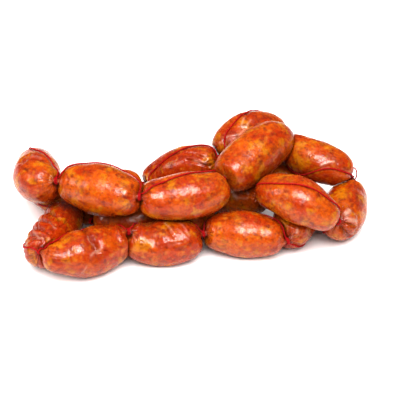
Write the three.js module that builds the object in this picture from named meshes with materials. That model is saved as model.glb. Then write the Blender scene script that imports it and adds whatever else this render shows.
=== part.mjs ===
// A string of small fresh sausage links, tied at every narrow neck with one red thread.
// The string lies folded in a low pile, two links high, on a flat surface.
// Millimetres, +Z up, the side of the pile seen in the photo faces -Y.
import * as THREE from 'three';

// Shape of the casing at a tie.
const NECK_RADIUS = 1.7;
const NECK_GAP = 0.3;
const COLLAR_HALF = 1.8;
const NECK_LENGTH = 3.4;
const SHOULDER_RADIUS = 5;
const TAIL_LENGTH = 4.5;
const TAIL_RADIUS = 2.6;

// Below 1, the rounded ends are fuller than those of a ball.
const END_FULLNESS = 0.75;

// How the links lie against each other and on the surface.
const CONTACT_GAP = 0.35;
const BULGE_POWER = 0.8;

// The thread.
const THREAD_RADIUS = 0.5;
const THREAD_STANDOFF = 1;
const COIL_RADIUS = 2.65;
const COIL_PITCH = 1.35;
const LEAST_COIL_TURN = 0.55;

// How finely the shapes are faceted.
const SIDES = 16;
const CAP_RINGS = 2;
const BODY_RINGS = 5;
const CORE_SAMPLES = 15;
const PRESS_STEPS = 14;
const THREAD_SIDES = 5;
const THREAD_CAP_POINTS = 4;
const THREAD_BODY_POINTS = 5;
const COIL_POINTS_PER_TURN = 8;

// The tie that closes the free end of the first link.
const FIRST_TIE = [-115, 21, 14];

// The links in the order of the string. Each is a stuffed casing around a line from start to end, which
// sags or rises by bow in the middle. radii are those at the start, the middle and the end, tie is the
// place of the tied neck that follows, and thread is the angle of the thread from the top of the link,
// in degrees, at the start, the middle and the end.
const LINKS = [
  { start: [-107, 8, 13], end: [-95, -11, 13], radii: [12.5, 13.8, 12.3], bow: 0,
    tie: [-90, -25, 14], thread: [90, 95, 100] },
  { start: [-85, -38, 12], end: [-94, -68, 13], radii: [12.8, 13.2, 13], bow: 0,
    tie: [-94, -83, 21], thread: [115, 104, 68] },
  { start: [-83, -83, 16], end: [-56, -68, 13], radii: [9.5, 15.2, 12.8], bow: 0,
    tie: [-43, -66, 23], thread: [-30, -62, -60] },
  { start: [-34, -63, 12], end: [-12, -62, 12.5], radii: [12.3, 14.4, 13], bow: -0.5,
    tie: [2, -60, 17], thread: [-50, -62, -52] },
  { start: [15, -54, 13.5], end: [39, -57, 13], radii: [12.2, 14.5, 12.2], bow: 0,
    tie: [53, -62, 13], thread: [-60, -66, -5] },
  { start: [58, -46, 13], end: [64, -24, 13], radii: [13, 14, 12.2], bow: 0,
    tie: [72, -9, 14], thread: [135, 137, 128] },
  { start: [59, 4, 12.8], end: [38, 4, 12.8], radii: [12.2, 13.6, 12.2], bow: 0,
    tie: [22, 12, 13], thread: [20, 28, 30] },
  { start: [26, 27, 12.8], end: [47, 30, 12.8], radii: [12.2, 13.8, 12.2], bow: 0,
    tie: [54, 28, 29], thread: [-20, -30, -60] },
  { start: [41, 20, 41], end: [22, 13, 38], radii: [13, 15, 12.8], bow: 1,
    tie: [13, 0, 33], thread: [70, 12, -35] },
  { start: [0, 2, 28], end: [-24, 9, 14], radii: [12, 13.2, 11.5], bow: 1,
    tie: [-38, 3, 10], thread: [35, -20, -65] },
  { start: [-50, -4, 12.8], end: [-71, -21, 12.8], radii: [12.2, 13.8, 12.2], bow: 0,
    tie: [-68, -36, 9], thread: [-135, -135, -135] },
  { start: [-50, -40, 12.8], end: [-28, -38, 12.8], radii: [12.2, 13.8, 12.2], bow: 0,
    tie: [-15, -46, 15], thread: [-40, -30, -22] },
  { start: [-3, -39, 12.8], end: [-6, -19, 12.8], radii: [12.2, 13.8, 12.2], bow: 0,
    tie: [-2, -4, 12], thread: [-150, -138, -130] },
  { start: [13, -9, 13], end: [28, -17, 14.5], radii: [12.2, 14.2, 12.8], bow: 0,
    tie: [40, -31, 26], thread: [-135, -135, -135] },
  { start: [50, -46, 37], end: [71, -55.5, 31], radii: [12.2, 14.4, 11.3], bow: 1,
    tie: [84, -54, 22], thread: [45, 12, -15] },
  { start: [88, -39, 13.7], end: [94, -21, 13.5], radii: [14, 14.6, 13], bow: 0,
    tie: [97, -9, 24], thread: [-135, -135, -135] },
  { start: [85, -9, 32], end: [68, -3, 36], radii: [12, 13.2, 12.5], bow: 0,
    tie: [55, 9.5, 41], thread: [-55, -85, -190] },
  { start: [44, -4, 46], end: [26, -21, 41], radii: [14.3, 15.5, 15], bow: 1,
    tie: [14, -36, 41], thread: [180, 150, 90] },
  { start: [4, -47, 38], end: [-23, -52, 37], radii: [13, 14.6, 12.6], bow: 0,
    tie: [-36, -58, 43], thread: [30, 5, -20] },
  { start: [-48, -50, 39], end: [-73, -40, 39], radii: [13.2, 16, 13], bow: 0,
    tie: [-87, -44, 45], thread: [60, 36, 15] },
  { start: [-100, -34, 38.5], end: [-103, -17, 36], radii: [14.3, 14.9, 13], bow: 0,
    tie: [-106, 0, 32], thread: [60, 20, -30] },
];

const vector = (numbers) => new THREE.Vector3(numbers[0], numbers[1], numbers[2]);
const blend = (a, b, share) => a.clone().lerp(b, share);
const smooth = (share) => share * share * (3 - 2 * share);

// The point on a link's centre line at share s of the way from start to end.
function centreAt(link, s) {
  const point = blend(vector(link.start), vector(link.end), s);
  point.z += 4 * s * (1 - s) * link.bow;
  return point;
}

function radiusAt(link, s) {
  const [first, middle, last] = link.radii;
  const straight = first + (last - first) * s;
  const swell = middle - (first + last) / 2;
  return straight + swell * Math.pow(4 * s * (1 - s), BULGE_POWER);
}

function directionAt(link, s) {
  const along = vector(link.end).sub(vector(link.start));
  along.z += 4 * (1 - 2 * s) * link.bow;
  return along.normalize();
}

// Signed distance from a point to the plain, unpressed skin of a link.
function makeDistance(link) {
  const core = [];
  for (let i = 0; i < CORE_SAMPLES; i += 1) {
    const s = i / (CORE_SAMPLES - 1);
    core.push({ centre: centreAt(link, s), radius: radiusAt(link, s) });
  }
  return (point) => {
    let least = Infinity;
    for (const ball of core) {
      least = Math.min(least, point.distanceTo(ball.centre) - ball.radius);
    }
    return least;
  };
}

// Upward and sideways directions square to an axis.
function crossDirections(axis) {
  const up = new THREE.Vector3(0, 0, 1).addScaledVector(axis, -axis.z).normalize();
  const side = new THREE.Vector3().crossVectors(axis, up);
  return { up, side };
}

// The axis of each tie: the mean of the directions in which the string arrives and leaves.
function makeTies() {
  const places = [vector(FIRST_TIE), ...LINKS.map((link) => vector(link.tie))];
  return places.map((place, i) => {
    const axis = new THREE.Vector3();
    if (i > 0) {
      axis.add(place.clone().sub(vector(LINKS[i - 1].end)).normalize());
    }
    if (i < LINKS.length) {
      axis.add(vector(LINKS[i].start).sub(place).normalize());
    }
    return { place, axis: axis.normalize() };
  });
}

// The rings of one rounded end, from its shoulder near the neck to where the body starts. The filling
// reaches as far as the neck. sign is 1 at the start of the link and -1 at its end.
function capRings(link, tie, sign, count) {
  const s = sign > 0 ? 0 : 1;
  const centre = centreAt(link, s);
  const radius = radiusAt(link, s);
  const alongLink = directionAt(link, s);
  const fromTie = centre.clone().sub(tie.place).normalize().multiplyScalar(sign);
  const reach = Math.max(radius, centre.distanceTo(tie.place) - NECK_LENGTH);
  const shoulder = Math.asin(Math.pow(SHOULDER_RADIUS / radius, 1 / END_FULLNESS));
  const rings = [];
  for (let i = 0; i < count; i += 1) {
    const share = i / count;
    const angle = shoulder + (Math.PI / 2 - shoulder) * share;
    const axis = blend(fromTie, alongLink, smooth(share)).normalize();
    rings.push({
      centre: centre.clone().addScaledVector(axis, -sign * reach * Math.pow(Math.cos(angle), END_FULLNESS)),
      axis,
      radius: radius * Math.pow(Math.sin(angle), END_FULLNESS),
      heart: centre,
    });
  }
  return rings;
}

// All rings of a link between the shoulders of its two ends.
function linkRings(link, before, after, capCount, bodyCount) {
  const first = capRings(link, before, 1, capCount);
  const last = capRings(link, after, -1, capCount).reverse();
  const body = [];
  for (let i = 0; i < bodyCount; i += 1) {
    const s = i / (bodyCount - 1);
    const centre = centreAt(link, s);
    body.push({ centre, axis: directionAt(link, s), radius: radiusAt(link, s), heart: centre });
  }
  return [...first, ...body, ...last];
}

// A ring square to a tie's axis, at a distance along that axis.
function tieRing(tie, distance, radius, heart) {
  const centre = tie.place.clone().addScaledVector(tie.axis, distance);
  return { centre, axis: tie.axis, radius, heart };
}

// The narrow neck of a link under a tie. It ends flat, half the neck gap short of the middle of the tie,
// or in a short flared tail beyond the tie at a free end of the string.
function neckRings(tie, sign, isFree, heart) {
  const collar = tieRing(tie, sign * COLLAR_HALF, NECK_RADIUS, heart);
  if (isFree) {
    const tip = tieRing(tie, -sign * TAIL_LENGTH, TAIL_RADIUS, tie.place);
    const throat = tieRing(tie, -sign * COLLAR_HALF, NECK_RADIUS, tie.place);
    return [tip, throat, collar];
  }
  return [tieRing(tie, (sign * NECK_GAP) / 2, NECK_RADIUS, heart), collar];
}

function ringPoint(ring, angle, extra = 0) {
  const { up, side } = crossDirections(ring.axis);
  const outward = up.multiplyScalar(Math.cos(angle)).addScaledVector(side, Math.sin(angle));
  const point = ring.centre.clone().addScaledVector(outward, ring.radius);
  if (extra > 0) {
    point.addScaledVector(point.clone().sub(ring.heart).normalize(), extra);
  }
  return point;
}

// A closed skin over a row of rings.
function skinOver(rows) {
  const positions = rows.flat().flatMap((point) => [point.x, point.y, point.z]);
  const sides = rows[0].length;
  const index = [];
  for (let row = 0; row < rows.length - 1; row += 1) {
    for (let i = 0; i < sides; i += 1) {
      const next = (i + 1) % sides;
      const a = row * sides + i;
      const b = row * sides + next;
      const c = (row + 1) * sides + i;
      const d = (row + 1) * sides + next;
      index.push(a, b, d, a, d, c);
    }
  }
  const lastRow = (rows.length - 1) * sides;
  for (let i = 1; i < sides - 1; i += 1) {
    index.push(0, i + 1, i);
    index.push(lastRow, lastRow + i, lastRow + i + 1);
  }
  const geometry = new THREE.BufferGeometry();
  geometry.setAttribute('position', new THREE.Float32BufferAttribute(positions, 3));
  geometry.setIndex(index);
  geometry.computeVertexNormals();
  return geometry;
}

// Moves a skin point that would sink below the surface up onto it, towards the heart of its link.
function settle(point, heart) {
  if (point.z >= 0) {
    return point;
  }
  const settled = blend(heart, point, heart.z / (heart.z - point.z));
  settled.z = 0;
  return settled;
}

// Moves a skin point towards the heart of its link until it clears the neighbours, as soft links do where
// they lean on each other.
function press(point, heart, own, others) {
  const clear = (place) => {
    const depth = own(place);
    return others.every((other) => depth <= other(place) - CONTACT_GAP);
  };
  if (clear(point)) {
    return point;
  }
  let inside = 0;
  let outside = 1;
  for (let i = 0; i < PRESS_STEPS; i += 1) {
    const share = (inside + outside) / 2;
    if (clear(blend(heart, point, share))) {
      inside = share;
    } else {
      outside = share;
    }
  }
  return blend(heart, point, inside);
}

function makeLink(number, ties, distances) {
  const link = LINKS[number];
  const before = ties[number];
  const after = ties[number + 1];
  const rings = [
    ...neckRings(before, 1, number === 0, centreAt(link, 0)),
    ...linkRings(link, before, after, CAP_RINGS, BODY_RINGS),
    ...neckRings(after, -1, number === LINKS.length - 1, centreAt(link, 1)).reverse(),
  ];
  const others = distances.filter((_, i) => i !== number);
  const rows = rings.map((ring) => {
    const row = [];
    for (let i = 0; i < SIDES; i += 1) {
      const angle = ((i + 0.5) / SIDES) * 2 * Math.PI;
      const point = settle(ringPoint(ring, angle), ring.heart);
      row.push(press(point, ring.heart, distances[number], others));
    }
    return row;
  });
  return skinOver(rows);
}

// The thread's run along one link, from just after the tie before it to just before the tie after it.
function threadRun(number, ties) {
  const link = LINKS[number];
  const [first, middle, last] = link.thread;
  const rings = linkRings(link, ties[number], ties[number + 1], THREAD_CAP_POINTS, THREAD_BODY_POINTS);
  const straightMiddle = (first + last) / 2;
  return rings.map((ring, i) => {
    const s = i / (rings.length - 1);
    const angle = first + (last - first) * s + (middle - straightMiddle) * 4 * s * (1 - s);
    return ringPoint(ring, THREE.MathUtils.degToRad(angle), THREAD_STANDOFF);
  });
}

// The angle at which a point lies round a tie.
function angleRound(tie, point) {
  const { up, side } = crossDirections(tie.axis);
  const offset = point.clone().sub(tie.place);
  return Math.atan2(offset.dot(side), offset.dot(up));
}

// The thread's turn round a neck, from the angle at which it arrives to the angle at which it leaves.
function coil(tie, arriving, leaving) {
  let turn = (leaving - arriving) / (2 * Math.PI);
  turn -= Math.floor(turn - LEAST_COIL_TURN);
  const { up, side } = crossDirections(tie.axis);
  const count = Math.round(turn * COIL_POINTS_PER_TURN);
  const points = [];
  for (let i = 0; i <= count; i += 1) {
    const angle = arriving + (turn * 2 * Math.PI * i) / count;
    const advance = COIL_PITCH * turn * (i / count - 0.5);
    points.push(tie.place.clone()
      .addScaledVector(up, COIL_RADIUS * Math.cos(angle))
      .addScaledVector(side, COIL_RADIUS * Math.sin(angle))
      .addScaledVector(tie.axis, advance));
  }
  return points;
}

function threadPath(ties) {
  const runs = LINKS.map((_, number) => threadRun(number, ties));
  const path = [];
  ties.forEach((tie, i) => {
    const runBefore = i > 0 ? runs[i - 1] : null;
    const runAfter = i < runs.length ? runs[i] : null;
    const leaving = angleRound(tie, runAfter ? runAfter[0] : runBefore[runBefore.length - 1]);
    const arriving = angleRound(tie, runBefore ? runBefore[runBefore.length - 1] : runAfter[0]);
    path.push(...coil(tie, arriving, leaving));
    if (runAfter) {
      path.push(...runAfter);
    }
  });
  return path;
}

// A closed tube along a path, its section carried from point to point without turning about the path.
function tubeAlong(path) {
  const rows = [];
  let across = null;
  path.forEach((point, i) => {
    const before = path[Math.max(0, i - 1)];
    const after = path[Math.min(path.length - 1, i + 1)];
    const ahead = after.clone().sub(before).normalize();
    if (across === null) {
      across = crossDirections(ahead).up;
    }
    across = across.clone().addScaledVector(ahead, -across.dot(ahead)).normalize();
    const other = new THREE.Vector3().crossVectors(ahead, across);
    const row = [];
    for (let k = 0; k < THREAD_SIDES; k += 1) {
      const angle = (k / THREAD_SIDES) * 2 * Math.PI;
      row.push(point.clone()
        .addScaledVector(across, THREAD_RADIUS * Math.cos(angle))
        .addScaledVector(other, THREAD_RADIUS * Math.sin(angle)));
    }
    rows.push(row);
  });
  return skinOver(rows);
}

function sausageMaterial() {
  return new THREE.MeshStandardMaterial({ color: 0xd2662c, roughness: 0.4 });
}

function threadMaterial() {
  return new THREE.MeshStandardMaterial({ color: 0xb31217, roughness: 0.6 });
}

// Puts the middle of the bounding box over the origin and its lowest point on the surface.
function centre(group) {
  const box = new THREE.Box3().setFromObject(group);
  const middle = box.getCenter(new THREE.Vector3());
  for (const mesh of group.children) {
    mesh.geometry.translate(-middle.x, -middle.y, -box.min.z);
  }
}

function buildString() {
  const ties = makeTies();
  const distances = LINKS.map(makeDistance);
  const group = new THREE.Group();
  group.name = 'sausage_string';
  LINKS.forEach((_, number) => {
    const mesh = new THREE.Mesh(makeLink(number, ties, distances), sausageMaterial());
    mesh.name = `link_${String(number + 1).padStart(2, '0')}`;
    group.add(mesh);
  });
  const thread = new THREE.Mesh(tubeAlong(threadPath(ties)), threadMaterial());
  thread.name = 'thread';
  group.add(thread);
  centre(group);
  return group;
}

export default buildString();
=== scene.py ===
import math

import bpy
import numpy as np
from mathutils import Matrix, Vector


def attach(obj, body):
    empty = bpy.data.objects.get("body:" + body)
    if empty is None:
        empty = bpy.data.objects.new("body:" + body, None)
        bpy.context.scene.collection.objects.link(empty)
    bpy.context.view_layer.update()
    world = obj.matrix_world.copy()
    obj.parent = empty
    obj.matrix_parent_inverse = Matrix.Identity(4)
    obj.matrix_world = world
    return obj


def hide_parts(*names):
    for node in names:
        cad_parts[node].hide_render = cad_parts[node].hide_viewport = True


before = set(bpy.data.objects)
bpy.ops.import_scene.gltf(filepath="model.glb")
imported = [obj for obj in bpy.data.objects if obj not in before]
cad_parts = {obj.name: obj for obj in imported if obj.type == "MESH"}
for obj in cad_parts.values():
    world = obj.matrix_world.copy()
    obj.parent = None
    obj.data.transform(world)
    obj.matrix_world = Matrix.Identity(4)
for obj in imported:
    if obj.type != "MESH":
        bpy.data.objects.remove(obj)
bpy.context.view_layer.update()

# A string of small fresh sausage links, tied at every narrow neck with one red thread and folded into a
# low pile. Shapes are worked out in millimetres, in the frame of the CAD part, and made in metres.
MM = 0.001

# The string is laid out round the middle of the photograph. This moves it to the part's frame, whose
# origin is under the middle of the pile's box.
SHIFT = (7.499, 25.103, 0.0)

# How the camera sees the pile.
CAMERA_ELEVATION = 35.0
CAMERA_DISTANCE = 760.0
CAMERA_LENS = 103.6
SENSOR_WIDTH = 36.0
PICTURE_GAMMA = 0.82

# Shape of the casing at a tie.
NECK_RADIUS = 1.7
NECK_GAP = 0.3
COLLAR_HALF = 1.8
NECK_LENGTH = 1.9
SHOULDER_RADIUS = 5.0
SHOULDER_CURVE = 1.5
TAIL_LENGTH = 4.5
TAIL_RADIUS = 2.6

# Below 1, these make the rounded ends fuller than those of a ball, and the swell of the body fuller than
# a parabola.
END_FULLNESS = 0.8
BLUNT_FULLNESS = 0.68
BULGE_POWER = 0.8

# How the links lie against each other: the gap at a contact, the room beside it at which the relief of the
# casing stands out in full, the halvings in the search for it, and how far apart neighbours can be.
CONTACT_GAP = 0.35
CONTACT_FADE = 2.5
PRESS_STEPS = 14
NEIGHBOUR_REACH = 75

# The thread: its radius, how far its middle stands off the casing, the share of a crease that it follows,
# its turns round a neck, and the groove under it, which a link has where the thread is within reach.
THREAD_RADIUS = 0.52
THREAD_STANDOFF = 0.3
THREAD_SINK = 0.75
COIL_RADIUS = 2.0
COIL_PITCH = 0.95
LEAST_COIL_TURN = 1.3
GROOVE_WIDTH = 1.7
GROOVE_DEPTH = 0.55
GROOVE_REACH = 4

# The thread's two plies, twisted round each other: how many, the length of one turn, and the radius of a
# ply and its offset from the middle as shares of the thread's radius.
PLIES = 2
LAY_LENGTH = 2.6
PLY_RADIUS = 0.55
PLY_OFFSET = 0.45

# The loose bight of thread at one tie: which tie, its half width and height, its middle from the tie, the
# arc it covers in degrees, and how far it leans to the front for each millimetre to the right.
LOOP_TIE = 16
LOOP_SIZE = (2.3, 4.8)
LOOP_SHIFT = np.array([0.6, -2.6, 4.4])
LOOP_ARC = (-100, 140)
LOOP_LEAN = 0.3

# Relief of the casing: how close the pleats stand at a tie, the heights of the lumps and of the grain of
# the filling, the scales of their patterns, and the step that gives each link a pattern of its own.
PLEAT_SPREAD = 2.6
LUMP_HEIGHT = 1.1
GRAIN_HEIGHT = 0.16
LUMP_SCALE = 85.0
GRAIN_SCALE = 420.0
SEED_STEP = 3.7

# Colours, by the values that they have in a picture, 0 to 255. The lamps give more light than white paper
# needs to look white, so a surface has only a share of these.
MINCE_ORANGE = (232, 109, 5)
MINCE_RED = (208, 70, 4)
# Painted shade in the valleys of pleats and wrinkles and in the creases of the casing.
FOLD_SHADE_RED = (138, 38, 24)
# Painted shade in the crevice at each tie, where the ends of two links meet.
TIE_SHADE_RED = (128, 36, 22)
# Pale casing in wrinkles: partly the paler bare casing and partly painted highlight.
PALE_CASING_AND_GLINT = (255, 205, 180)
THREAD_BRIGHT = (228, 0, 16)
THREAD_DEEP = (190, 0, 10)
LIGHT_SHARE = 0.48

# What lies over the ground of the mince, one on another: golden patches, fibres of meat, soft fat and
# dusky meat. span is where the noise sets in and where it is full, and most is its greatest share.
MINCE_LAYERS = [
    dict(colour=(234, 150, 10), scale=120, detail=2, roughness=0.5, span=(0.52, 0.68), most=0.8),
    dict(colour=(166, 40, 8), scale=520, detail=3, roughness=0.7, span=(0.45, 0.72), most=0.6),
    dict(colour=(236, 148, 40), scale=460, detail=2, roughness=0.6, span=(0.58, 0.72), most=0.55),
    dict(colour=(134, 36, 24), scale=260, detail=3, roughness=0.7, span=(0.53, 0.68), most=0.65, wavy=False),
]

# Light and dark bits in the mince: the share of the cells of a pattern that have one, and its size.
MINCE_BITS = [
    dict(colour=(238, 160, 56), scale=360, share=0.09, size=0.62),
    dict(colour=(130, 36, 26), scale=300, share=0.12, size=0.66),
]
BIT_SHARE = 0.4

# How far, in metres, and how finely the pattern of the mince wavers.
WAVER_SIZE = 0.004
WAVER_SCALE = 300

# How strongly painted shade in folds and at ties and the pale wrinkles, partly bare casing and partly
# painted highlight, colour the casing, and where the painted shade of a tie fades out.
FOLD_SHADE_SHARE = 0.5
TIE_SHADE_SHARE = 0.55
PALE_AND_GLINT_SHARE = 0.75
TIE_SHADE_FADE = (1.5, 6)

# The tone of a link that is neither golden nor red, and how strongly its tone moves the ground of its mince.
EVEN_TONE = 0.45
TONE_PULL = 0.45

# Soft studio lamps: place and size in metres, power in watts, and whether a lamp is left out of the shine
# or of the plain light.
LAMPS = [
    dict(name="overhead_fill", place=(0.0, 0.0, 0.9), size=(1.6, 1.6), power=16.5, glossy=False),
    dict(name="front", place=(0.1, -0.55, 0.95), size=(1.3, 1.0), power=23.0, glossy=False),
    dict(name="gleam", place=(0.12, -0.63, 0.91), size=(0.55, 0.38), power=22.0, diffuse=False),
    dict(name="left", place=(-0.95, -0.3, 0.6), size=(0.3, 0.45), power=5.5),
]
LAMP_TARGET = (0.0, 0.0, 0.02)
WORLD_STRENGTH = 0.18

# The floor: half its width in metres, how far it is under the pile in millimetres, and its brightness.
FLOOR_HALF = 3.0
FLOOR_DROP = 0.1
FLOOR_WHITE = 0.95

# How finely the skins are made.
SIDES = 144
NECK_RINGS = 4
TAIL_RINGS = 6
SHOULDER_RINGS = 10
CAP_RINGS = 24
BODY_RINGS = 56
CORE_SAMPLES = 41
WAY_STEPS = 9

# How finely the thread is made: rings of a link per point, points of coils and bridges, and the step along
# a ply in millimetres.
RUN_STEP = 2
COIL_POINTS_PER_TURN = 20
BRIDGE_POINTS = 4
LOOP_POINTS = 24
PATH_PASSES = 2
THREAD_STEP = 0.33
PLY_SIDES = 6

# How far, in rings, and how strongly the join of a rounded end and the body is evened out.
JOIN_REACH = (8, 20)
JOIN_PASSES = 60

# The tie that closes the free end of the first link.
FIRST_TIE = (-115, 21, 14)

# The links in the order of the string. Each is a stuffed casing round a line from start to end, which
# sags or rises by bow in the middle. radii are those at the start, the middle and the end, tie is the
# place of the tied neck that follows, and thread is the angle of the thread from the top of the link,
# in degrees, at the start, the middle and the end. full is the fullness of its ends if not the usual.
LINKS = [
    dict(start=(-107, 8, 13), end=(-95, -11, 13), radii=(12.5, 13.8, 12.3), bow=0,
         tie=(-90, -25, 14), thread=(90, 95, 100)),
    dict(start=(-85, -38, 12), end=(-94, -68, 13), radii=(12.8, 13.2, 13), bow=0,
         tie=(-94, -83, 21), thread=(115, 104, 68)),
    dict(start=(-83, -83, 16), end=(-56, -68, 13), radii=(9.5, 15.2, 12.8), bow=0,
         tie=(-43, -66, 23), thread=(-30, -62, -60)),
    dict(start=(-34, -63, 12), end=(-12, -62, 12.5), radii=(12.3, 14.4, 13), bow=-0.5,
         tie=(2, -60, 17), thread=(-50, -62, -52)),
    dict(start=(15, -54, 13.5), end=(39, -57, 13), radii=(12.2, 14.5, 12.2), bow=0,
         tie=(53, -62, 13), thread=(-60, -66, -5)),
    dict(start=(58, -46, 13), end=(64, -24, 13), radii=(13, 14, 12.2), bow=0,
         tie=(72, -9, 14), thread=(135, 137, 128)),
    dict(start=(59, 4, 12.8), end=(38, 4, 12.8), radii=(12.2, 13.6, 12.2), bow=0,
         tie=(22, 12, 13), thread=(20, 28, 30)),
    dict(start=(26, 27, 12.8), end=(47, 30, 12.8), radii=(12.2, 13.8, 12.2), bow=0,
         tie=(54, 28, 29), thread=(-20, -30, -60)),
    dict(start=(41, 20, 41), end=(22, 13, 38), radii=(13, 15, 12.8), bow=1,
         tie=(13, 0, 33), thread=(70, 12, -35)),
    dict(start=(0, 2, 28), end=(-24, 9, 14), radii=(12, 13.2, 11.5), bow=1,
         tie=(-38, 3, 10), thread=(35, -20, -65)),
    dict(start=(-50, -4, 12.8), end=(-71, -21, 12.8), radii=(12.2, 13.8, 12.2), bow=0,
         tie=(-68, -36, 9), thread=(-135, -135, -135)),
    dict(start=(-50, -40, 12.8), end=(-28, -38, 12.8), radii=(12.2, 13.8, 12.2), bow=0,
         tie=(-15, -46, 15), thread=(-40, -30, -22)),
    dict(start=(-3, -39, 12.8), end=(-6, -19, 12.8), radii=(12.2, 13.8, 12.2), bow=0,
         tie=(-2, -4, 12), thread=(-150, -138, -130)),
    dict(start=(13, -9, 13), end=(28, -17, 14.5), radii=(12.2, 14.2, 12.8), bow=0,
         tie=(40, -31, 26), thread=(-135, -135, -135)),
    dict(start=(50, -46, 37), end=(71, -55.5, 31), radii=(12.2, 14.4, 11.3), bow=1,
         tie=(84, -54, 22), thread=(45, 12, -15)),
    dict(start=(88, -39, 13.7), end=(94, -21, 13.5), radii=(14, 14.6, 13), bow=0,
         tie=(97, -9, 24), thread=(-135, -135, -135)),
    dict(start=(85, -9, 32), end=(68, -3, 36), radii=(12, 13.2, 12.5), bow=0,
         tie=(55, 9.5, 41), thread=(-55, -85, -190)),
    dict(start=(44, -4, 46), end=(26, -21, 41), radii=(14.3, 15.5, 15), bow=1,
         tie=(14, -36, 41), thread=(180, 150, 90), full=BLUNT_FULLNESS),
    dict(start=(4, -47, 38), end=(-23, -52, 37), radii=(13, 14.6, 12.6), bow=0,
         tie=(-36, -58, 43), thread=(30, 5, -20), full=BLUNT_FULLNESS),
    dict(start=(-48, -50, 39), end=(-73, -40, 39), radii=(13.2, 16, 13), bow=0,
         tie=(-87, -44, 45), thread=(60, 36, 15)),
    dict(start=(-100, -34, 38.5), end=(-103, -17, 36), radii=(14.3, 14.9, 13), bow=0,
         tie=(-106, 0, 32), thread=(60, 20, -30)),
]

# Looks of single links, counted from 0: tone from 0, golden, to 1, deep red; slack, the depth of the
# lengthwise wrinkles in a loosely filled casing; pleat and reach, the depth of the pleats at the ties and
# how far they run up the link.
PLAIN_LOOK = dict(tone=EVEN_TONE, slack=0.08, pleat=0.5, reach=11)
LOOKS = {
    1: dict(tone=1.0, slack=0.9, pleat=0.7, reach=13),
    2: dict(tone=0.55, slack=0.15, pleat=0.45, reach=12),
    3: dict(tone=0.6, slack=0.25, pleat=0.7, reach=15),
    5: dict(tone=0.6, slack=0.2, pleat=0.8, reach=15),
    8: dict(tone=0.5, slack=0.2, pleat=0.6, reach=12),
    9: dict(tone=0.8, slack=0.15, pleat=0.9, reach=14),
    13: dict(tone=0.4, slack=0.15, pleat=0.8, reach=13),
    15: dict(tone=0.5, slack=0.15, pleat=0.9, reach=13),
    16: dict(tone=0.5, slack=0.15, pleat=0.6, reach=12),
    19: dict(tone=0.3, slack=0.0, pleat=0.3, reach=8),
    20: dict(tone=0.5, slack=0.1, pleat=0.5, reach=12),
}


def crease(way, width=1.4, depth=1.0, pale=0.0):
    """A groove in the casing, which its depth also darkens with painted shade. The way is a row of places,
    each the share along the link, which runs from -1 to 0 and from 1 to 2 over the rounded ends, and the
    angle from the top in degrees."""
    return dict(way=way, width=width, depth=depth, pale=pale)


def ridge(way, width=0.7, height=0.35, pale=0.7):
    """A fine raised wrinkle of casing, paler than the filling: partly paler bare casing, partly painted
    highlight.
    """
    return crease(way, width, -height, pale)


def gathers(places, angle, reach, slant, width=1.3, depth=1.5):
    """Slack casing in a row of creases that run round the link from one angle over a reach of degrees."""
    made = []
    for s in places:
        way = [(s + slant * share ** 1.5, angle - reach * share) for share in (0, 0.35, 0.7, 1)]
        made.append(crease(way, width, depth))
    return made
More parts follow.
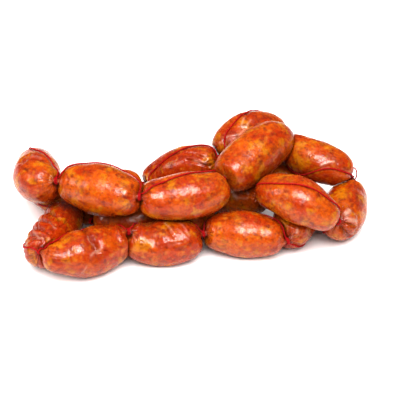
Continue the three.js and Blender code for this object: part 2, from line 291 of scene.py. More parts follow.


# Creases and wrinkles seen on single links, counted from 0. The pale of a mark is partly paler bare casing
# and
# # partly painted highlight.
MARKS = {
    1: [
        *gathers((0.12, 0.42, 0.68, 0.95, 1.22), 105, 100, 0.3, 1.4, 2.1),
        *gathers((0.3, 0.56, 0.84, 1.1), 75, 95, 0.22, 1.1, 1.3),
        crease([(1.8, 5), (1.35, 30)], 0.9, 1.2),
        crease([(1.75, -25), (1.3, -12)], 0.9, 1.2),
        crease([(1.7, -45), (1.2, -42)], 0.9, 1.2),
        ridge([(1.78, -10), (1.4, 8)], 0.8, 0.5, 0.6),
        ridge([(1.72, -34), (1.35, -27)], 0.8, 0.5, 0.6),
        ridge([(0.7, 5), (0.85, -25)]),
        ridge([(1.06, 25), (1.38, 0)]),
    ],
    2: [
        crease([(0.6, -60), (0.56, 0), (0.57, 30), (0.6, 55)], 1.7, 2.2),
        crease([(0.56, -40), (0.55, 70)], 5.0, 1.5),
        ridge([(0.45, 62), (0.58, 55)]),
        ridge([(0.58, 61), (0.7, 51)]),
        ridge([(0.27, 108), (0.34, 88)], 0.6, 0.3, 0.5),
        ridge([(0.54, 5), (0.5, 25), (0.56, 40)], 0.6, 0.3, 0.6),
    ],
    3: [
        crease([(0.1, -20), (0.15, 25), (0.3, 50)], 3.0, 1.3),
        crease([(0.68, 0), (0.72, 15), (0.84, 38)], 1.2, 0.6),
        ridge([(0.6, -5), (0.72, 8), (0.86, 28)], 0.7, 0.35, 0.35),
        ridge([(0.98, 18), (1.3, 50)], 0.7, 0.4, 0.4),
        ridge([(1.05, -5), (1.4, 40)], 0.7, 0.4, 0.4),
    ],
    5: [
        ridge([(-0.5, 20), (-0.85, 45)], 0.8, 0.5, 0.9),
        crease([(-0.45, 40), (-0.85, 70)], 1.1, 0.8),
    ],
    8: [
        ridge([(0.56, -5), (0.75, -28)], 0.6, 0.3, 0.7),
        ridge([(0.45, -18), (0.62, -32), (0.8, -24)], 0.6, 0.3, 0.6),
        ridge([(0.85, -45), (1.2, -30)], 0.8, 0.4, 0.5),
        crease([(0.4, 20), (0.5, -5), (0.45, -30)], 1.8, 0.8),
    ],
    9: [
        crease([(-0.6, -85), (-0.2, -60), (0.1, -48)], 1.2, 1.1),
        crease([(-0.5, -50), (-0.1, -30), (0.15, -20)], 1.2, 1.0),
        ridge([(-0.5, -68), (-0.1, -52)], 0.8, 0.4, 0.8),
    ],
    # On this link the pale ridges are mostly painted highlight, which lightens a part that lies in shade.
    13: [
        ridge([(1.0, 20), (1.35, 45)], 0.8, 0.5, 0.6),
        ridge([(0.84, 38), (1.02, 62)], 1.3, 0.5, 0.8),
        ridge([(0.9, 30), (1.1, 45)], 0.8, 0.4, 0.7),
        ridge([(0.95, 60), (1.4, 60)], 0.8, 0.5, 0.6),
        crease([(0.97, 40), (1.4, 52)], 1.0, 0.9),
    ],
    14: [
        crease([(0.3, 5), (0.36, -30)], 1.5, 0.9),
    ],
    15: [
        crease([(-0.97, 10), (-0.7, 12), (-0.3, 8)], 1.1, 1.8),
        crease([(-0.97, 100), (-0.75, 95), (-0.5, 90)], 1.1, 1.8),
        crease([(-0.97, 150), (-0.7, 140), (-0.4, 132)], 1.8, 3.2),
        ridge([(-0.9, 40), (-0.45, 30)], 1.6, 0.5, 0.9),
        ridge([(-0.9, 75), (-0.55, 70)], 1.4, 0.5, 0.8),
        crease([(-0.2, -60), (-0.15, 0), (-0.2, 60), (-0.4, 110)], 1.6, 0.8),
    ],
    16: [
        ridge([(0.38, -64), (0.2, -50), (0.02, -38)], 0.7, 0.35, 0.8),
        ridge([(0.3, -72), (0.1, -62)], 0.6, 0.3, 0.6),
    ],
    20: [
        crease([(0.45, -15), (0.28, -22), (0.05, 0), (-0.05, 25)], 1.5, 1.0),
        crease([(0.5, -30), (0.35, -40), (0.1, -30)], 1.5, 1.0),
        ridge([(0.35, -18), (0.1, 12)], 0.8, 0.4, 0.3),
        crease([(-0.8, 178), (-0.75, 145), (-0.8, 110)], 1.3, 1.1),
        ridge([(-0.9, 170), (-0.85, 140), (-0.9, 115)], 0.6, 0.3, 0.8),
    ],
}


def placed(place):
    """A place of the layout in the part's frame."""
    return np.array(place, float) + SHIFT


def unit(rows):
    """Vectors made one long."""
    return rows / np.linalg.norm(rows, axis=-1, keepdims=True)


def smooth(share):
    return share * share * (3 - 2 * share)


def soft_step(value, low, high):
    """0 below low, 1 above high and a smooth rise between."""
    return smooth(np.clip((value - low) / (high - low), 0, 1))


# The plain form of a link

def centre_at(link, s):
    """Points of a link's centre line at shares s of the way from start to end."""
    s = np.asarray(s, float)[..., None]
    start = placed(link["start"])
    end = placed(link["end"])
    rise = np.array([0, 0, link["bow"]], float)
    return start + (end - start) * s + 4 * s * (1 - s) * rise


def radius_at(link, s):
    s = np.asarray(s, float)
    first, middle, last = link["radii"]
    straight = first + (last - first) * s
    swell = middle - (first + last) / 2
    return straight + swell * (4 * s * (1 - s)) ** BULGE_POWER


def direction_at(link, s):
    s = np.asarray(s, float)[..., None]
    along = np.array(link["end"], float) - np.array(link["start"], float)
    rise = np.array([0, 0, link["bow"]], float)
    return unit(along + 4 * (1 - 2 * s) * rise)


def distance_to(link, points):
    """Signed distance of points from the plain, unpressed skin of a link."""
    s = np.linspace(0, 1, CORE_SAMPLES)
    centres = centre_at(link, s)
    radii = radius_at(link, s)
    least = np.full(len(points), np.inf)
    for centre, radius in zip(centres, radii):
        least = np.minimum(least, np.linalg.norm(points - centre, axis=1) - radius)
    return least


def cross_directions(axes):
    """Upward and sideways directions square to axes."""
    up = np.array([0.0, 0.0, 1.0]) - axes * axes[..., 2:3]
    up = unit(up)
    return up, np.cross(axes, up)


def make_ties():
    """Place and axis of every tie. The axis is the mean of the ways in which the string comes and goes."""
    places = [placed(place) for place in [FIRST_TIE] + [link["tie"] for link in LINKS]]
    ties = []
    for i, place in enumerate(places):
        axis = np.zeros(3)
        if i > 0:
            axis += unit(place - placed(LINKS[i - 1]["end"]))
        if i < len(LINKS):
            axis += unit(placed(LINKS[i]["start"]) - place)
        ties.append((place, unit(axis)))
    return ties


def cap_ring(link, tie, sign, share):
    """One ring of a rounded end, at a share of the way from its shoulder to where the body starts: its
    centre, its axis, its radius and its heart, the point towards which its skin is pressed."""
    s = 0.0 if sign > 0 else 1.0
    centre = centre_at(link, s)
    radius = float(radius_at(link, s))
    full = link.get("full", END_FULLNESS)
    along = direction_at(link, s)
    from_tie = unit(centre - tie[0]) * sign
    reach = max(radius, np.linalg.norm(centre - tie[0]) - NECK_LENGTH)
    shoulder = math.asin((SHOULDER_RADIUS / radius) ** (1 / full))
    angle = shoulder + (math.pi / 2 - shoulder) * share
    axis = unit(from_tie + (along - from_tie) * smooth(share))
    middle = centre - sign * axis * reach * max(math.cos(angle), 0) ** full
    return middle, axis, radius * math.sin(angle) ** full, centre


def cap_rings(link, tie, sign):
    """Rings of one rounded end, from its shoulder to where the body starts."""
    return [cap_ring(link, tie, sign, i / CAP_RINGS) for i in range(CAP_RINGS)]


def body_ring(link, s):
    middle = centre_at(link, s)
    return middle, direction_at(link, s), float(radius_at(link, s)), middle


def neck_rings(tie, sign, is_free, shoulder, heart):
    """Rings of the narrow neck under a tie and of the flare from it to the shoulder of the end."""
    place, axis = tie
    rings = []
    if is_free:
        for share in np.linspace(0, 1, TAIL_RINGS):
            reach = TAIL_LENGTH + (COLLAR_HALF - TAIL_LENGTH) * share
            radius = TAIL_RADIUS + (NECK_RADIUS - TAIL_RADIUS) * smooth(share)
            rings.append((place - sign * axis * reach, axis, radius, place))
    first = -COLLAR_HALF if is_free else NECK_GAP / 2
    for share in np.linspace(0, 1, NECK_RINGS):
        reach = first + (COLLAR_HALF - first) * share
        if is_free and share == 0:
            continue
        rings.append((place + sign * axis * reach, axis, NECK_RADIUS, heart))
    collar = place + sign * axis * COLLAR_HALF
    for i in range(1, SHOULDER_RINGS):
        share = i / SHOULDER_RINGS
        middle = collar + (shoulder[0] - collar) * share
        turned = unit(axis + (shoulder[1] - axis) * smooth(share))
        radius = NECK_RADIUS + (SHOULDER_RADIUS - NECK_RADIUS) * share ** SHOULDER_CURVE
        rings.append((middle, turned, radius, heart))
    return rings


def link_rings(number, ties):
    """The centres, axes, radii and hearts of all rings of one link, from neck to neck, and the stretch of
    them between its two shoulders."""
    link = LINKS[number]
    before = ties[number]
    after = ties[number + 1]
    first = cap_rings(link, before, 1)
    last = cap_rings(link, after, -1)
    start_neck = neck_rings(before, 1, number == 0, first[0], centre_at(link, 0))
    end_neck = neck_rings(after, -1, number == len(LINKS) - 1, last[0], centre_at(link, 1))
    first_ring = len(start_neck)
    first_join = first_ring + CAP_RINGS
    last_join = first_join + BODY_RINGS
    body = [body_ring(link, s) for s in np.linspace(0, 1, BODY_RINGS)]
    rings = start_neck + first + body + last[::-1] + end_neck[::-1]
    return evened(rings, (first_join, last_join)), range(first_ring, last_join + CAP_RINGS)


def evened(rings, joins):
    """Rings whose profile has no kink where the rounded ends join the body."""
    centres, axes, radii, hearts = [np.array(row) for row in zip(*rings)]
    profile = np.column_stack([centres, radii])
    places = np.arange(len(profile))
    away = np.min([np.abs(places - join) for join in joins], axis=0)
    share = 1 - soft_step(away, *JOIN_REACH)
    profile += (eased(profile, JOIN_PASSES) - profile) * share[:, None]
    return profile[:, :3], axes, profile[:, 3], hearts


def settle(points, hearts):
    """Skin that would sink below the surface comes up onto it, towards the heart of the link."""
    low = points[:, 2] < 0
    share = hearts[low, 2] / (hearts[low, 2] - points[low, 2])
    points[low] = hearts[low] + (points[low] - hearts[low]) * share[:, None]
    points[low, 2] = 0
    return points


def press(points, hearts, own, others):
    """Skin moves towards the heart of its link until it clears the neighbours that lean on it."""

    def clear(places):
        depth = distance_to(own, places)
        kept = np.ones(len(places), bool)
        for other in others:
            kept &= depth <= distance_to(other, places) - CONTACT_GAP
        return kept

    bad = ~clear(points)
    if not bad.any():
        return points
    inner = np.zeros(bad.sum())
    outer = np.ones(bad.sum())
    base = hearts[bad]
    reach = points[bad] - base
    for _ in range(PRESS_STEPS):
        share = (inner + outer) / 2
        kept = clear(base + reach * share[:, None])
        inner = np.where(kept, share, inner)
        outer = np.where(kept, outer, share)
    points[bad] = base + reach * inner[:, None]
    return points


def neighbours_of(number):
    """Links near enough to touch a link."""
    own = LINKS[number]
    middle = centre_at(own, 0.5)
    near = []
    for other_number, other in enumerate(LINKS):
        apart = np.linalg.norm(centre_at(other, 0.5) - middle)
        if other_number != number and apart < NEIGHBOUR_REACH:
            near.append(other)
    return near


# The way of the thread

def ring_point(centre, axis, radius, heart, angle, extra):
    up, side = cross_directions(axis)
    outward = up * math.cos(angle) + side * math.sin(angle)
    point = centre + outward * radius
    return point + unit(point - heart) * extra


def thread_run(number, ties):
    """The thread along one link, from its first shoulder to its last."""
    link = LINKS[number]
    first, middle, last = link["thread"]
    rings, stretch = link_rings(number, ties)
    points = []
    for i in stretch[::RUN_STEP]:
        s = (i - stretch[0]) / (len(stretch) - 1)
        angle = first + (last - first) * s + (middle - (first + last) / 2) * 4 * s * (1 - s)
        points.append(ring_point(*[row[i] for row in rings], math.radians(angle), THREAD_STANDOFF))
    points = np.array(points)
    hearts = rings[-1][stretch[::RUN_STEP]]
    depth, _ = marked(number, ties, points)
    sink = np.maximum(depth, 0) * THREAD_SINK
    return list(points + unit(hearts - points) * sink[:, None])


def angle_round(tie, point):
    up, side = cross_directions(tie[1])
    offset = point - tie[0]
    return math.atan2(offset @ side, offset @ up)


def coil(tie, arriving, leaving):
    """The turns of the thread round a neck."""
    turn = (leaving - arriving) / (2 * math.pi)
    turn -= math.floor(turn - LEAST_COIL_TURN)
    up, side = cross_directions(tie[1])
    count = round(turn * COIL_POINTS_PER_TURN)
    points = []
    for i in range(count + 1):
        angle = arriving + turn * 2 * math.pi * i / count
        advance = COIL_PITCH * turn * (i / count - 0.5)
        around = up * math.cos(angle) + side * math.sin(angle)
        points.append(tie[0] + around * COIL_RADIUS + tie[1] * advance)
    return points


def eased(points, passes):
    """A row of points with its corners rounded and its ends kept."""
    points = np.array(points)
    for _ in range(passes):
        middle = (points[:-2] + 2 * points[1:-1] + points[2:]) / 4
        points = np.vstack([points[:1], middle, points[-1:]])
    return points


def between(a, b, count):
    """Points on the straight way from a to b, without its ends."""
    return [a + (b - a) * i / (count + 1) for i in range(1, count + 1)]


def thread_path(ties):
    runs = [thread_run(number, ties) for number in range(len(LINKS))]
    path = []
    for i, tie in enumerate(ties):
        before = runs[i - 1] if i > 0 else None
        after = runs[i] if i < len(runs) else None
        leaving = angle_round(tie, after[0] if after else before[-1])
        arriving = angle_round(tie, before[-1] if before else after[0])
        turns = coil(tie, arriving, leaving)
        if path:
            path += between(path[-1], turns[0], BRIDGE_POINTS)
        path += turns
        if after:
            path += between(turns[-1], after[0], BRIDGE_POINTS)
            path += after
    return eased(path, PATH_PASSES)


def loose_loop(ties):
    """A bight of thread that stands off the casing at one tie."""
    place = ties[LOOP_TIE][0]
    points = []
    for angle in np.radians(np.linspace(*LOOP_ARC, LOOP_POINTS)):
        across = math.cos(angle) * LOOP_SIZE[0]
        points.append(place + LOOP_SHIFT + (across, -LOOP_LEAN * across, math.sin(angle) * LOOP_SIZE[1]))
    return np.array(points)


# The skin of a link as a mesh, with what the casing needs to know at each point

def grid_mesh(name, rows):
    """A closed mesh over rows of points, each row a closed ring."""
    count, sides = rows.shape[:2]
    points = rows.reshape(-1, 3)
    starts = rows[0].mean(axis=0)
    ends = rows[-1].mean(axis=0)
    points = np.vstack([points, starts, ends])
    first_pole = count * sides
    last_pole = first_pole + 1
    last_row = (count - 1) * sides
    faces = []
    for row in range(count - 1):
        for i in range(sides):
            after = (i + 1) % sides
            faces.append((row * sides + i, row * sides + after,
                          (row + 1) * sides + after, (row + 1) * sides + i))
    for i in range(sides):
        after = (i + 1) % sides
        faces.append((first_pole, after, i))
        faces.append((last_pole, last_row + i, last_row + after))
    mesh = bpy.data.meshes.new(name)
    mesh.from_pydata((points * MM).tolist(), [], faces)
    mesh.update()
    return mesh


def put_attribute(mesh, name, values):
    """Stores one number for each point of a mesh."""
    attribute = mesh.attributes.new(name, "FLOAT", "POINT")
    attribute.data.foreach_set("value", values.astype(np.float32))


def nearest_distance(points, path):
    """Distance of points from a row of points."""
    least = np.full(len(points), np.inf)
    for place in path:
        least = np.minimum(least, np.linalg.norm(points - place, axis=1))
    return least


def way_points(number, ties, way):
    """Points on the plain skin of a link along the way of a mark."""
    link = LINKS[number]
    points = []
    for (s_from, angle_from), (s_to, angle_to) in zip(way, way[1:]):
        for share in np.linspace(0, 1, WAY_STEPS):
            s = s_from + (s_to - s_from) * share
            angle = math.radians(angle_from + (angle_to - angle_from) * share)
            if s < 0:
                ring = cap_ring(link, ties[number], 1, 1 + s)
            elif s > 1:
                ring = cap_ring(link, ties[number + 1], -1, 2 - s)
            else:
                ring = body_ring(link, s)
            points.append(ring_point(*ring, angle, 0))
    return points


def marked(number, ties, points):
    """Depth in millimetres and paleness that the marks of a link give to its points."""
    depth = np.zeros(len(points))
    pale = np.zeros(len(points))
    for mark in MARKS.get(number, []):
        away = nearest_distance(points, way_points(number, ties, mark["way"]))
        near = np.exp(-(away / mark["width"]) ** 2)
        depth += near * mark["depth"]
        pale = np.maximum(pale, near * mark["pale"])
    return depth, pale


def link_mesh(number, ties, path):
    link = LINKS[number]
    (centres, axes, radii, hearts), _ = link_rings(number, ties)
    up, side = cross_directions(axes)
    angles = np.arange(SIDES) / SIDES * 2 * math.pi
    outward = up[:, None] * np.cos(angles)[:, None] + side[:, None] * np.sin(angles)[:, None]
    rows = centres[:, None] + outward * radii[:, None, None]
    around = np.repeat(hearts, SIDES, axis=0)
    points = settle(rows.reshape(-1, 3).copy(), around)
    others = neighbours_of(number)
    points = press(points, around, link, others)
    room = np.full(len(points), np.inf)
    own = distance_to(link, points)
    for other in others:
        room = np.minimum(room, distance_to(other, points) - own)
    room = np.minimum(room - CONTACT_GAP, points[:, 2])
    near_path = path[distance_to(link, path) < GROOVE_REACH]
    groove = np.exp(-(nearest_distance(points, near_path) / GROOVE_WIDTH) ** 2) * GROOVE_DEPTH
    steps = np.linalg.norm(np.diff(rows, axis=0), axis=2).mean(axis=1)
    travel = np.concatenate([[0], np.cumsum(steps)])
    from_neck = np.minimum(travel, travel[-1] - travel)
    mesh = grid_mesh(f"sausage_{number + 1:02d}", points.reshape(rows.shape))
    depth, pale = marked(number, ties, points)
    figures = dict(
        turn=np.tile(angles, len(radii)),
        travel=np.repeat(travel, SIDES),
        from_neck=np.repeat(from_neck, SIDES),
        girth=np.repeat(radii, SIDES),
        free=soft_step(room, 0, CONTACT_FADE),
        groove=groove,
        mark=depth,
        pale=pale,
        tone=np.full(len(points), LOOKS.get(number, PLAIN_LOOK)["tone"]),
    )
    for name, values in figures.items():
        # The two points that close the ends of the mesh are like the first and the last of the others.
        put_attribute(mesh, name, np.concatenate([values, values[:1], values[-1:]]))
    return mesh


# Small helpers for node trees

def wire(tree, value, socket):
    """Puts a number, a colour or another node's output into a socket."""
    if isinstance(value, bpy.types.NodeSocket):
        tree.links.new(value, socket)
    else:
        socket.default_value = value


def figure(tree, operation, *values):
    """One step of arithmetic on numbers and sockets."""
    step = tree.nodes.new("ShaderNodeMath")
    step.operation = operation
    for value, socket in zip(values, step.inputs):
        wire(tree, value, socket)
    return step.outputs[0]


def times(tree, first, second):
    return figure(tree, "MULTIPLY", first, second)


def arrow(tree, operation, *values):
    """One step of vector arithmetic."""
    step = tree.nodes.new("ShaderNodeVectorMath")
    step.operation = operation
    for value, socket in zip(values, step.inputs):
        wire(tree, value, socket)
    return step.outputs[0]


def scaled(tree, value, share):
    """A vector made longer or shorter."""
    step = tree.nodes.new("ShaderNodeVectorMath")
    step.operation = "SCALE"
    wire(tree, value, step.inputs[0])
    wire(tree, share, step.inputs["Scale"])
    return step.outputs[0]


def combined(tree, x, y, z):
    made = tree.nodes.new("ShaderNodeCombineXYZ")
    for value, socket in zip((x, y, z), made.inputs):
        wire(tree, value, socket)
    return made.outputs[0]


def rise(tree, value, low, high, low_out=0.0, high_out=1.0):
    """A smooth rise from low_out to high_out while value goes from low to high."""
    made = tree.nodes.new("ShaderNodeMapRange")
    made.interpolation_type = "SMOOTHSTEP"
    for name, number in (("From Min", low), ("From Max", high), ("To Min", low_out), ("To Max", high_out)):
        wire(tree, number, made.inputs[name])
    wire(tree, value, made.inputs["Value"])
    return made.outputs["Result"]


def noise(tree, place, scale, detail=2, roughness=0.5):
    made = tree.nodes.new("ShaderNodeTexNoise")
    wire(tree, place, made.inputs["Vector"])
    wire(tree, scale, made.inputs["Scale"])
    made.inputs["Detail"].default_value = detail
    made.inputs["Roughness"].default_value = roughness
    return made.outputs[0]


def stored(tree, name):
    """A number stored on the points of the mesh, for a Geometry Nodes tree."""
    made = tree.nodes.new("GeometryNodeInputNamedAttribute")
    made.data_type = "FLOAT"
    made.inputs["Name"].default_value = name
    return made.outputs[0]


def geometry_tree(name, inputs):
    """A new Geometry Nodes tree with a geometry input and named inputs. Gives the tree, its input sockets
    by name and the socket that takes its result."""
    tree = bpy.data.node_groups.new(name, "GeometryNodeTree")
    tree.interface.new_socket(name="Geometry", in_out="INPUT", socket_type="NodeSocketGeometry")
    for label, kind in inputs:
        tree.interface.new_socket(name=label, in_out="INPUT", socket_type=kind)
    tree.interface.new_socket(name="Geometry", in_out="OUTPUT", socket_type="NodeSocketGeometry")
    entry = tree.nodes.new("NodeGroupInput")
    leave = tree.nodes.new("NodeGroupOutput")
    return tree, entry.outputs, leave.inputs["Geometry"]


def finish_tree(tree, geometry, material, leave):
    """Smooth shading, realised instances and the material, as the last steps of a tree."""
    shade = tree.nodes.new("GeometryNodeSetShadeSmooth")
    wire(tree, geometry, shade.inputs["Geometry"])
    real = tree.nodes.new("GeometryNodeRealizeInstances")
    wire(tree, shade.outputs[0], real.inputs[0])
    paint = tree.nodes.new("GeometryNodeSetMaterial")
    wire(tree, real.outputs[0], paint.inputs["Geometry"])
    wire(tree, material, paint.inputs["Material"])
    tree.links.new(paint.outputs[0], leave)


def apply_tree(piece, tree, values):
    """Runs a tree on a piece with the given inputs and keeps the result as a plain mesh."""
    modifier = piece.modifiers.new(tree.name, "NODES")
    modifier.node_group = tree
    for item in tree.interface.items_tree:
        if item.in_out == "INPUT" and item.name in values:
            modifier[item.identifier] = values[item.name]
    seen = piece.evaluated_get(bpy.context.evaluated_depsgraph_get())
    mesh = bpy.data.meshes.new_from_object(seen)
    piece.modifiers.clear()
    piece.data = mesh


def new_piece(name, mesh):
    piece = bpy.data.objects.new(name, mesh)
    bpy.context.scene.collection.objects.link(piece)
    return piece


# The casing: pleats gathered towards the ties, wrinkles along a slack link and the lumps of the filling

def casing_tree():
    tree, given, leave = geometry_tree("casing", [
        ("Pleat depth", "NodeSocketFloat"),
        ("Pleat reach", "NodeSocketFloat"),
        ("Pleat spread", "NodeSocketFloat"),
        ("Slack depth", "NodeSocketFloat"),
        ("Lump height", "NodeSocketFloat"),
        ("Grain height", "NodeSocketFloat"),
        ("Seed", "NodeSocketFloat"),
        ("Material", "NodeSocketMaterial"),
    ])
    names = ("turn", "travel", "from_neck", "girth", "free", "groove", "mark")
    turn, travel, from_neck, girth, free, groove, mark = [stored(tree, name) for name in names]
    cosine = figure(tree, "COSINE", turn)
    sine = figure(tree, "SINE", turn)

    def streaks(spread, pull, shift):
        """Noise drawn out along the link, which gathers at its necks."""
        along = figure(tree, "MULTIPLY_ADD", travel, pull, figure(tree, "ADD", given["Seed"], shift))
        place = combined(tree, times(tree, cosine, spread),
                         times(tree, sine, spread), along)
        return noise(tree, place, scale=1, detail=1)

    def valleys(field, sharpness):
        """Narrow valleys where the field crosses its middle."""
        away = figure(tree, "ABSOLUTE", figure(tree, "SUBTRACT", field, 0.5))
        near = figure(tree, "SUBTRACT", 1.0, times(tree, away, sharpness))
        near.node.use_clamp = True
        return figure(tree, "POWER", near, 1.5)

    folds = valleys(streaks(given["Pleat spread"], pull=0.035, shift=0), sharpness=9)
    gathered = rise(tree, from_neck, 1.0, given["Pleat reach"], low_out=1.0, high_out=0.0)
    gathered = figure(tree, "POWER", gathered, 0.8)
    room = times(tree, girth, 0.2)
    room = figure(tree, "MINIMUM", room, 1.0)
    pleat = times(tree, times(tree, folds, gathered), room)
    pleat_height = times(tree, pleat, given["Pleat depth"])
    wrinkles = valleys(streaks(spread=3.2, pull=0.06, shift=7), sharpness=11)
    patch = rise(tree, streaks(spread=0.9, pull=0.09, shift=13), 0.42, 0.62)
    wrinkle = times(tree, wrinkles, patch)
    wrinkle_height = times(tree, wrinkle, given["Slack depth"])

    position = tree.nodes.new("GeometryNodeInputPosition").outputs[0]
    lumps = figure(tree, "SUBTRACT", noise(tree, position, LUMP_SCALE, detail=1), 0.5)
    lump_height = times(tree, lumps, given["Lump height"])
    grain = figure(tree, "SUBTRACT", noise(tree, position, GRAIN_SCALE, detail=1), 0.5)
    grain_height = times(tree, grain, given["Grain height"])
    plump = times(tree, room, figure(tree, "ADD", lump_height, grain_height))
    height = figure(tree, "SUBTRACT", plump, figure(tree, "ADD", pleat_height, wrinkle_height))
    height = figure(tree, "SUBTRACT", height, mark)
    above = times(tree, figure(tree, "MAXIMUM", height, 0.0), free)
    height = figure(tree, "ADD", figure(tree, "MINIMUM", height, 0.0), above)
    height = figure(tree, "SUBTRACT", height, times(tree, groove, room))
    normal = tree.nodes.new("GeometryNodeInputNormal").outputs[0]
    offset = scaled(tree, normal, times(tree, height, MM))
    moved = tree.nodes.new("GeometryNodeSetPosition")
    wire(tree, given["Geometry"], moved.inputs["Geometry"])
    wire(tree, offset, moved.inputs["Offset"])
    # The stored mask of pleat and wrinkle valleys and of creases, which the material darkens with painted
    # shade.
    keep = tree.nodes.new("GeometryNodeStoreNamedAttribute")
    keep.data_type = "FLOAT"
    keep.domain = "POINT"
    wire(tree, moved.outputs[0], keep.inputs["Geometry"])
    keep.inputs["Name"].default_value = "fold_shade"
    creased = times(tree, mark, 0.35)
    creased.node.use_clamp = True
    shaded_folds = figure(tree, "MAXIMUM", pleat, wrinkle)
    wire(tree, figure(tree, "MAXIMUM", shaded_folds, creased), keep.inputs["Value"])
    finish_tree(tree, keep.outputs[0], given["Material"], leave)
    return tree


# The thread: plies twisted round each other along its way

def thread_tree():
    tree, given, leave = geometry_tree("twisted_thread", [
        ("Thread radius", "NodeSocketFloat"),
        ("Lay length", "NodeSocketFloat"),
        ("Step", "NodeSocketFloat"),
        ("Material", "NodeSocketMaterial"),
    ])
    curve = tree.nodes.new("GeometryNodeMeshToCurve")
    wire(tree, given["Geometry"], curve.inputs[0])
    even = tree.nodes.new("GeometryNodeResampleCurve")
    even.mode = "LENGTH"
    wire(tree, curve.outputs[0], even.inputs["Curve"])
    wire(tree, given["Step"], even.inputs["Length"])
    length = tree.nodes.new("GeometryNodeSplineParameter").outputs["Length"]
    tangent = tree.nodes.new("GeometryNodeInputTangent").outputs[0]
    normal = tree.nodes.new("GeometryNodeInputNormal").outputs[0]
    other = arrow(tree, "CROSS_PRODUCT", tangent, normal)
    twist = figure(tree, "DIVIDE", length, given["Lay length"])
    ply_radius = times(tree, given["Thread radius"], PLY_RADIUS)
    ply_offset = times(tree, given["Thread radius"], PLY_OFFSET)
    profile = tree.nodes.new("GeometryNodeCurvePrimitiveCircle")
    profile.inputs["Resolution"].default_value = PLY_SIDES
    wire(tree, ply_radius, profile.inputs["Radius"])
    join = tree.nodes.new("GeometryNodeJoinGeometry")
    for ply in range(PLIES):
        angle = times(tree, figure(tree, "ADD", twist, ply / PLIES), 2 * math.pi)
        across = scaled(tree, normal, times(tree, figure(tree, "COSINE", angle), ply_offset))
        beside = scaled(tree, other, times(tree, figure(tree, "SINE", angle), ply_offset))
        moved = tree.nodes.new("GeometryNodeSetPosition")
        wire(tree, even.outputs[0], moved.inputs["Geometry"])
        wire(tree, arrow(tree, "ADD", across, beside), moved.inputs["Offset"])
        tube = tree.nodes.new("GeometryNodeCurveToMesh")
        wire(tree, moved.outputs[0], tube.inputs["Curve"])
        wire(tree, profile.outputs[0], tube.inputs["Profile Curve"])
        tube.inputs["Fill Caps"].default_value = True
        tree.links.new(tube.outputs[0], join.inputs[0])
    finish_tree(tree, join.outputs[0], given["Material"], leave)
    return tree


# Materials

def new_material(name):
    material = bpy.data.materials.new(name)
    material.use_nodes = True
    tree = material.node_tree
    return material, tree, tree.nodes["Principled BSDF"]


def shade_attribute(tree, name):
    made = tree.nodes.new("ShaderNodeAttribute")
    made.attribute_name = name
    return made.outputs["Fac"]


def mixed(tree, share, first, second):
    """A blend of two colours, whose sockets are 6 and 7 on the way in and 2 on the way out."""
    made = tree.nodes.new("ShaderNodeMix")
    made.data_type = "RGBA"
    wire(tree, share, made.inputs[0])
    wire(tree, first, made.inputs[6])
    wire(tree, second, made.inputs[7])
    return made.outputs[2]


def rgb(red, green, blue):
    """The colour of a surface, by the standard curve of screens, from its values in a picture."""
    def linear(value):
        share = value / 255
        return share / 12.92 if share <= 0.04045 else ((share + 0.055) / 1.055) ** 2.4
    return tuple(linear(value) * LIGHT_SHARE for value in (red, green, blue)) + (1.0,)


def bits(tree, place, scale, share, size):
    """Soft separate bits: a share of the cells of a pattern, each with a bit of the given size."""
    found = tree.nodes.new("ShaderNodeTexVoronoi")
    wire(tree, place, found.inputs["Vector"])
    found.inputs["Scale"].default_value = scale
    split = tree.nodes.new("ShaderNodeSeparateColor")
    tree.links.new(found.outputs["Color"], split.inputs[0])
    chosen = figure(tree, "LESS_THAN", split.outputs[0], share)
    core = size * 0.45
    return times(tree, chosen, rise(tree, found.outputs["Distance"], size, core))


def tinted(tree, base, share, colour):
    """A colour with a share of another laid over it."""
    return mixed(tree, share, base, rgb(*colour))


def wavering(tree, place):
    """Places drawn a little to and fro, so that the patterns of the mince have no regular outline."""
    drift = tree.nodes.new("ShaderNodeTexNoise")
    wire(tree, place, drift.inputs["Vector"])
    drift.inputs["Scale"].default_value = WAVER_SCALE
    size = (WAVER_SIZE, WAVER_SIZE, WAVER_SIZE)
    return arrow(tree, "MULTIPLY_ADD", drift.outputs["Color"], size, place)


def mince_colour(tree, place, bent):
    """Orange and red meat with golden patches, fibres, soft fat, dusky meat and small bits."""
    tone = shade_attribute(tree, "tone")
    redder = times(tree, figure(tree, "SUBTRACT", tone, EVEN_TONE), TONE_PULL)
    broad = figure(tree, "ADD", noise(tree, place, scale=80, roughness=0.55), redder)
    base = mixed(tree, rise(tree, broad, 0.35, 0.68), rgb(*MINCE_ORANGE), rgb(*MINCE_RED))
    for layer in MINCE_LAYERS:
        at = bent if layer.get("wavy", True) else place
        field = noise(tree, at, layer["scale"], layer["detail"], layer["roughness"])
        share = rise(tree, field, *layer["span"], high_out=layer["most"])
        base = tinted(tree, base, share, layer["colour"])
    for bit in MINCE_BITS:
        shape = bits(tree, bent, bit["scale"], bit["share"], bit["size"])
        base = tinted(tree, base, times(tree, shape, BIT_SHARE), bit["colour"])
    return base


def casing_colour(tree, base):
    """Mince through the casing, with painted shade in folds and at ties, and pale wrinkles of bare casing
    and painted highlight.
    """
    shaded_folds = times(tree, shade_attribute(tree, "fold_shade"), FOLD_SHADE_SHARE)
    tie_shade = rise(tree, shade_attribute(tree, "from_neck"), *TIE_SHADE_FADE, low_out=TIE_SHADE_SHARE, high_out=0.0)
    pale_and_glint = times(tree, shade_attribute(tree, "pale"), PALE_AND_GLINT_SHARE)
    for share, colour in ((shaded_folds, FOLD_SHADE_RED), (tie_shade, TIE_SHADE_RED), (pale_and_glint, PALE_CASING_AND_GLINT)):
        base = tinted(tree, base, share, colour)
    return base


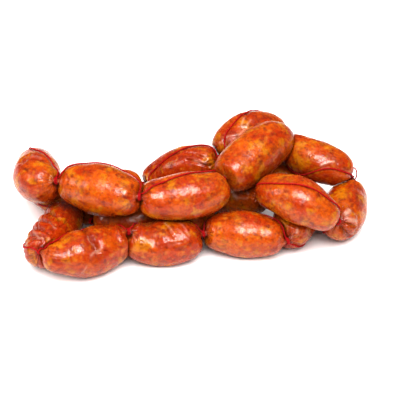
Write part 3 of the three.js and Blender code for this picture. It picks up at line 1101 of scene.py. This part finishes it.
def sausage_material():
    """Raw red-orange mince with soft fat and dark bits, seen through a thin moist casing."""
    material, tree, skin = new_material("sausage")
    place = tree.nodes.new("ShaderNodeTexCoord").outputs["Object"]
    bent = wavering(tree, place)
    wire(tree, casing_colour(tree, mince_colour(tree, place, bent)), skin.inputs["Base Color"])
    skin.inputs["Subsurface Weight"].default_value = 0.12
    skin.inputs["Subsurface Radius"].default_value = (1.0, 0.3, 0.1)
    skin.inputs["Subsurface Scale"].default_value = 0.003
    rough = rise(tree, noise(tree, bent, scale=420), 0.35, 0.68, low_out=0.2, high_out=0.34)
    wire(tree, rough, skin.inputs["Roughness"])
    skin.inputs["IOR"].default_value = 1.4
    bump = tree.nodes.new("ShaderNodeBump")
    bump.inputs["Strength"].default_value = 0.65
    bump.inputs["Distance"].default_value = 0.0004
    fine = times(tree, noise(tree, bent, scale=1100), 0.35)
    wire(tree, figure(tree, "ADD", noise(tree, place, scale=380), fine), bump.inputs["Height"])
    wire(tree, bump.outputs[0], skin.inputs["Normal"])
    return material


def thread_material():
    """Fine red cotton."""
    material, tree, cotton = new_material("thread")
    place = tree.nodes.new("ShaderNodeTexCoord").outputs["Object"]
    fibre = noise(tree, place, scale=2500)
    base = mixed(tree, rise(tree, fibre, 0.35, 0.7), rgb(*THREAD_BRIGHT), rgb(*THREAD_DEEP))
    wire(tree, base, cotton.inputs["Base Color"])
    cotton.inputs["Roughness"].default_value = 0.8
    cotton.inputs["Specular IOR Level"].default_value = 0.2
    bump = tree.nodes.new("ShaderNodeBump")
    bump.inputs["Strength"].default_value = 0.3
    bump.inputs["Distance"].default_value = 0.0001
    wire(tree, fibre, bump.inputs["Height"])
    wire(tree, bump.outputs[0], cotton.inputs["Normal"])
    return material


def floor_material():
    """Plain white paper."""
    material, _, paper = new_material("floor")
    paper.inputs["Base Color"].default_value = (FLOOR_WHITE, FLOOR_WHITE, FLOOR_WHITE, 1)
    paper.inputs["Roughness"].default_value = 0.8
    return material


# The pieces

def make_links(ties, path, material):
    tree = casing_tree()
    for number in range(len(LINKS)):
        look = LOOKS.get(number, PLAIN_LOOK)
        piece = new_piece(f"sausage_{number + 1:02d}", link_mesh(number, ties, path))
        apply_tree(piece, tree, {
            "Pleat depth": look["pleat"],
            "Pleat reach": float(look["reach"]),
            "Pleat spread": PLEAT_SPREAD,
            "Slack depth": look["slack"],
            "Lump height": LUMP_HEIGHT,
            "Grain height": GRAIN_HEIGHT,
            "Seed": SEED_STEP * number,
            "Material": material,
        })
        keep_above_floor(piece)
        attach(piece, "root")
        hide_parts(f"link_{number + 1:02d}")


def keep_above_floor(piece):
    """No point of a piece sinks below the surface on which the pile lies."""
    places = np.zeros(len(piece.data.vertices) * 3, np.float32)
    piece.data.vertices.foreach_get("co", places)
    places = places.reshape(-1, 3)
    places[:, 2] = np.maximum(places[:, 2], 0)
    piece.data.vertices.foreach_set("co", places.ravel())
    piece.data.update()


def make_thread(path, loop, material):
    mesh = bpy.data.meshes.new("thread_twist")
    edges = [(i, i + 1) for i in range(len(path) - 1)]
    edges += [(len(path) + i, len(path) + i + 1) for i in range(len(loop) - 1)]
    mesh.from_pydata((np.vstack([path, loop]) * MM).tolist(), edges, [])
    piece = new_piece("thread_twist", mesh)
    apply_tree(piece, thread_tree(), {
        "Thread radius": THREAD_RADIUS * MM,
        "Lay length": LAY_LENGTH * MM,
        "Step": THREAD_STEP * MM,
        "Material": material,
    })
    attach(piece, "root")
    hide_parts("thread")


# Floor, light and camera

def make_floor():
    mesh = bpy.data.meshes.new("floor")
    half = FLOOR_HALF
    low = -FLOOR_DROP * MM
    corners = [(-half, -half, low), (half, -half, low), (half, half, low), (-half, half, low)]
    mesh.from_pydata(corners, [], [(0, 1, 2, 3)])
    floor = new_piece("floor", mesh)
    floor.data.materials.append(floor_material())


def area_light(name, place, size, power, glossy=True, diffuse=True):
    """A soft lamp that may be left out of the shine or of the plain light of surfaces."""
    data = bpy.data.lights.new(name, "AREA")
    data.shape = "RECTANGLE"
    data.size, data.size_y = size
    data.energy = power
    lamp = bpy.data.objects.new(name, data)
    bpy.context.scene.collection.objects.link(lamp)
    lamp.location = place
    lamp.rotation_mode = "QUATERNION"
    lamp.rotation_quaternion = (Vector(LAMP_TARGET) - Vector(place)).to_track_quat("-Z", "Y")
    lamp.visible_glossy = glossy
    lamp.visible_diffuse = diffuse


def make_light():
    world = bpy.data.worlds.new("studio")
    world.use_nodes = True
    back = world.node_tree.nodes["Background"]
    back.inputs["Color"].default_value = (1, 1, 1, 1)
    back.inputs["Strength"].default_value = WORLD_STRENGTH
    bpy.context.scene.world = world
    for lamp in LAMPS:
        area_light(**lamp)


def make_camera():
    data = bpy.data.cameras.new("camera")
    data.lens = CAMERA_LENS
    data.sensor_width = SENSOR_WIDTH
    camera = bpy.data.objects.new("camera", data)
    bpy.context.scene.collection.objects.link(camera)
    lift = math.radians(CAMERA_ELEVATION)
    back = Vector((0, -math.cos(lift), math.sin(lift)))
    camera.location = (Vector(SHIFT) + back * CAMERA_DISTANCE) * MM
    camera.rotation_mode = "QUATERNION"
    camera.rotation_quaternion = (-back).to_track_quat("-Z", "Y")
    bpy.context.scene.camera = camera


ties = make_ties()
path = thread_path(ties)
make_links(ties, path, sausage_material())
make_thread(path, loose_loop(ties), thread_material())
make_floor()
make_light()
make_camera()
bpy.context.scene.view_settings.view_transform = "Standard"
bpy.context.scene.view_settings.gamma = PICTURE_GAMMA
